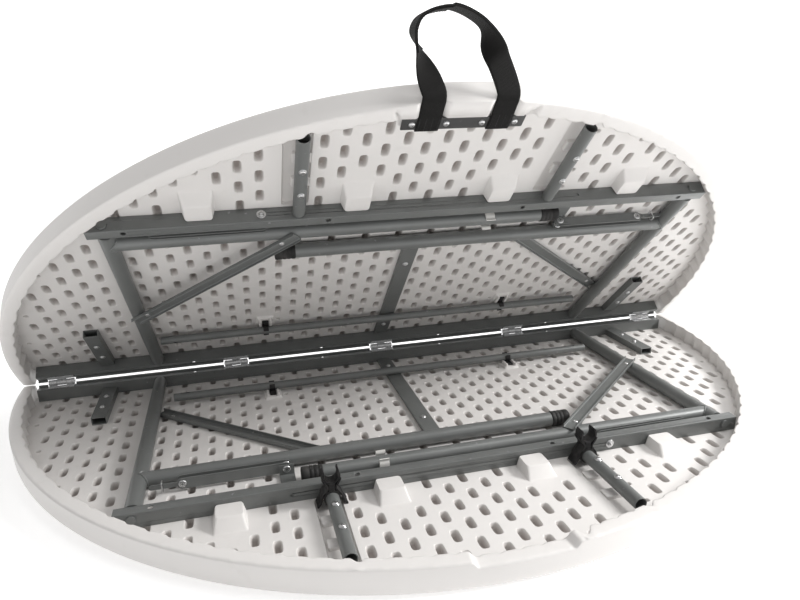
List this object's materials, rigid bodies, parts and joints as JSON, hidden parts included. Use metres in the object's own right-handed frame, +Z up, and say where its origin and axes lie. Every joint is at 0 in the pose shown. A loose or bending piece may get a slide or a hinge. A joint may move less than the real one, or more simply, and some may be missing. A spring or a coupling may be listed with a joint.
{
  "type": "folding table",
  "caption": "Round bi-fold table, half open, with moulded half tops, folding tube legs with locking stays, steel rails, latch clips and a carry strap.",
  "frame": {"origin": "middle of the fold, at the level of the face on which the lower half lies", "axes": "+X along the fold, to the right seen from the open side; -Y from the fold to the open side; +Z up"},
  "size_m": [1.524, 0.7911, 0.6899],
  "materials": {
    "white_plastic": "satin moulded polyethylene with a fine grain",
    "grey_steel": "grey powder coat",
    "zinc_steel": "zinc plated",
    "dark_steel": "dark grey coat",
    "black_nylon": "moulded nylon",
    "black_rubber": "matt rubber",
    "black_webbing": "woven webbing"
  },
  "bodies": {
    "lower_half": {"lower_top": "white_plastic", "lower_hinge_rail": "grey_steel", "lower_outer_rail": "grey_steel", "lower_centre_strut": "grey_steel", "lower_post_left": "grey_steel", "lower_post_right": "grey_steel", "lower_end_stubs": "grey_steel", "lower_inner_stay_bracket": "grey_steel", "lower_outer_stay_bracket": "grey_steel", "lower_tie_bar_clips": "black_nylon", "lower_leg_clip": "white_plastic", "lower_hinge_leaves": "zinc_steel", "lower_screws": "zinc_steel", "latch_clip_left": "black_nylon", "latch_clip_right": "black_nylon"},
    "fold_pins": {"fold_pins": "zinc_steel"},
    "upper_half": {"upper_top": "white_plastic", "upper_hinge_rail": "grey_steel", "upper_outer_rail": "grey_steel", "upper_centre_strut": "grey_steel", "upper_post_left": "grey_steel", "upper_post_right": "grey_steel", "upper_end_stubs": "grey_steel", "upper_inner_stay_bracket": "grey_steel", "upper_outer_stay_bracket": "grey_steel", "upper_tie_bar_clips": "black_nylon", "upper_leg_clip": "white_plastic", "upper_hinge_leaves": "zinc_steel", "upper_screws": "zinc_steel", "handle_plate": "dark_steel", "handle_strap": "black_webbing", "handle_screws": "zinc_steel"},
    "lower_inner_leg": {"lower_inner_leg_tube": "grey_steel", "lower_inner_pivot_tube": "grey_steel", "lower_inner_brace": "grey_steel", "lower_inner_foot": "black_rubber"},
    "lower_inner_stay_arm": {"lower_inner_stay_arm": "grey_steel"},
    "lower_inner_stay_link": {"lower_inner_stay_link": "grey_steel"},
    "lower_outer_leg": {"lower_outer_leg_tube": "grey_steel", "lower_outer_pivot_tube": "grey_steel", "lower_outer_brace": "grey_steel", "lower_outer_foot": "black_rubber"},
    "lower_outer_stay_arm": {"lower_outer_stay_arm": "grey_steel"},
    "lower_outer_stay_link": {"lower_outer_stay_link": "grey_steel"},
    "lower_tie_bar": {"lower_tie_bar": "grey_steel"},
    "upper_inner_leg": {"upper_inner_leg_tube": "grey_steel", "upper_inner_pivot_tube": "grey_steel", "upper_inner_brace": "grey_steel", "upper_inner_foot": "black_rubber"},
    "upper_inner_stay_arm": {"upper_inner_stay_arm": "grey_steel"},
    "upper_inner_stay_link": {"upper_inner_stay_link": "grey_steel"},
    "upper_outer_leg": {"upper_outer_leg_tube": "grey_steel", "upper_outer_pivot_tube": "grey_steel", "upper_outer_brace": "grey_steel", "upper_outer_foot": "black_rubber"},
    "upper_outer_stay_arm": {"upper_outer_stay_arm": "grey_steel"},
    "upper_outer_stay_link": {"upper_outer_stay_link": "grey_steel"},
    "upper_tie_bar": {"upper_tie_bar": "grey_steel"}
  },
  "joints": [
    {"name": "fold_closing", "type": "hinge", "parent": "lower_half", "child": "fold_pins", "pos_m": [0, 0, 0.043], "axis": [-1, 0, 0], "range_deg": [-43.5, 0]},
    {"name": "fold_opening", "type": "hinge", "parent": "fold_pins", "child": "upper_half", "pos_m": [0, 0, 0.043], "axis": [-1, 0, 0], "range_deg": [0, 136.5]},
    {"name": "lower_inner_leg_fold", "type": "hinge", "parent": "lower_half", "child": "lower_inner_leg", "pos_m": [-0.492, 0, 0.026], "axis": [0, -1, 0], "range_deg": [0, 90]},
    {"name": "lower_inner_arm_turn", "type": "hinge", "parent": "lower_half", "child": "lower_inner_stay_arm", "pos_m": [-0.266, 0, 0.026], "axis": [0, -1, 0], "range_deg": [-45, 0]},
    {"name": "lower_inner_link_turn", "type": "hinge", "parent": "lower_inner_leg", "child": "lower_inner_stay_link", "pos_m": [-0.266, 0, 0.026], "axis": [0, -1, 0], "range_deg": [0, 45]},
    {"name": "lower_outer_leg_fold", "type": "hinge", "parent": "lower_half", "child": "lower_outer_leg", "pos_m": [0.492, 0, 0.026], "axis": [0, 1, 0], "range_deg": [0, 90]},
    {"name": "lower_outer_arm_turn", "type": "hinge", "parent": "lower_half", "child": "lower_outer_stay_arm", "pos_m": [0.266, 0, 0.026], "axis": [0, 1, 0], "range_deg": [-45, 0]},
    {"name": "lower_outer_link_turn", "type": "hinge", "parent": "lower_outer_leg", "child": "lower_outer_stay_link", "pos_m": [0.266, 0, 0.026], "axis": [0, 1, 0], "range_deg": [0, 45]},
    {"name": "lower_tie_bar_slide", "type": "slide", "parent": "lower_half", "child": "lower_tie_bar", "axis": [1, 0, 0], "range_m": [-0.012, 0.012]},
    {"name": "upper_inner_leg_fold", "type": "hinge", "parent": "upper_half", "child": "upper_inner_leg", "pos_m": [0.492, 0.0117, 0.05533], "axis": [0, -0.7254, 0.6884], "range_deg": [0, 90]},
    {"name": "upper_inner_arm_turn", "type": "hinge", "parent": "upper_half", "child": "upper_inner_stay_arm", "pos_m": [0.266, 0.0117, 0.05533], "axis": [0, -0.7254, 0.6884], "range_deg": [-45, 0]},
    {"name": "upper_inner_link_turn", "type": "hinge", "parent": "upper_inner_leg", "child": "upper_inner_stay_link", "pos_m": [0.266, 0.0117, 0.05533], "axis": [0, -0.7254, 0.6884], "range_deg": [0, 45]},
    {"name": "upper_outer_leg_fold", "type": "hinge", "parent": "upper_half", "child": "upper_outer_leg", "pos_m": [-0.492, 0.0117, 0.05533], "axis": [0, 0.7254, -0.6884], "range_deg": [0, 90]},
    {"name": "upper_outer_arm_turn", "type": "hinge", "parent": "upper_half", "child": "upper_outer_stay_arm", "pos_m": [-0.266, 0.0117, 0.05533], "axis": [0, 0.7254, -0.6884], "range_deg": [-45, 0]},
    {"name": "upper_outer_link_turn", "type": "hinge", "parent": "upper_outer_leg", "child": "upper_outer_stay_link", "pos_m": [-0.266, 0.0117, 0.05533], "axis": [0, 0.7254, -0.6884], "range_deg": [0, 45]},
    {"name": "upper_tie_bar_slide", "type": "slide", "parent": "upper_half", "child": "upper_tie_bar", "axis": [1, 0, 0], "range_m": [-0.006, 0.018]}
  ],
  "couplings": [
    {"joint": "lower_inner_leg_fold", "follows": "fold_opening", "ratio": 0.65924},
    {"joint": "lower_inner_arm_turn", "follows": "fold_opening", "ratio": -0.32962},
    {"joint": "lower_inner_link_turn", "follows": "fold_opening", "ratio": 0.32962},
    {"joint": "lower_outer_leg_fold", "follows": "fold_opening", "ratio": 0.65924},
    {"joint": "lower_outer_arm_turn", "follows": "fold_opening", "ratio": -0.32962},
    {"joint": "lower_outer_link_turn", "follows": "fold_opening", "ratio": 0.32962},
    {"joint": "upper_inner_leg_fold", "follows": "fold_opening", "ratio": 0.65924},
    {"joint": "upper_inner_arm_turn", "follows": "fold_opening", "ratio": -0.32962},
    {"joint": "upper_inner_link_turn", "follows": "fold_opening", "ratio": 0.32962},
    {"joint": "upper_outer_leg_fold", "follows": "fold_opening", "ratio": 0.65924},
    {"joint": "upper_outer_arm_turn", "follows": "fold_opening", "ratio": -0.32962},
    {"joint": "upper_outer_link_turn", "follows": "fold_opening", "ratio": 0.32962}
  ]
}
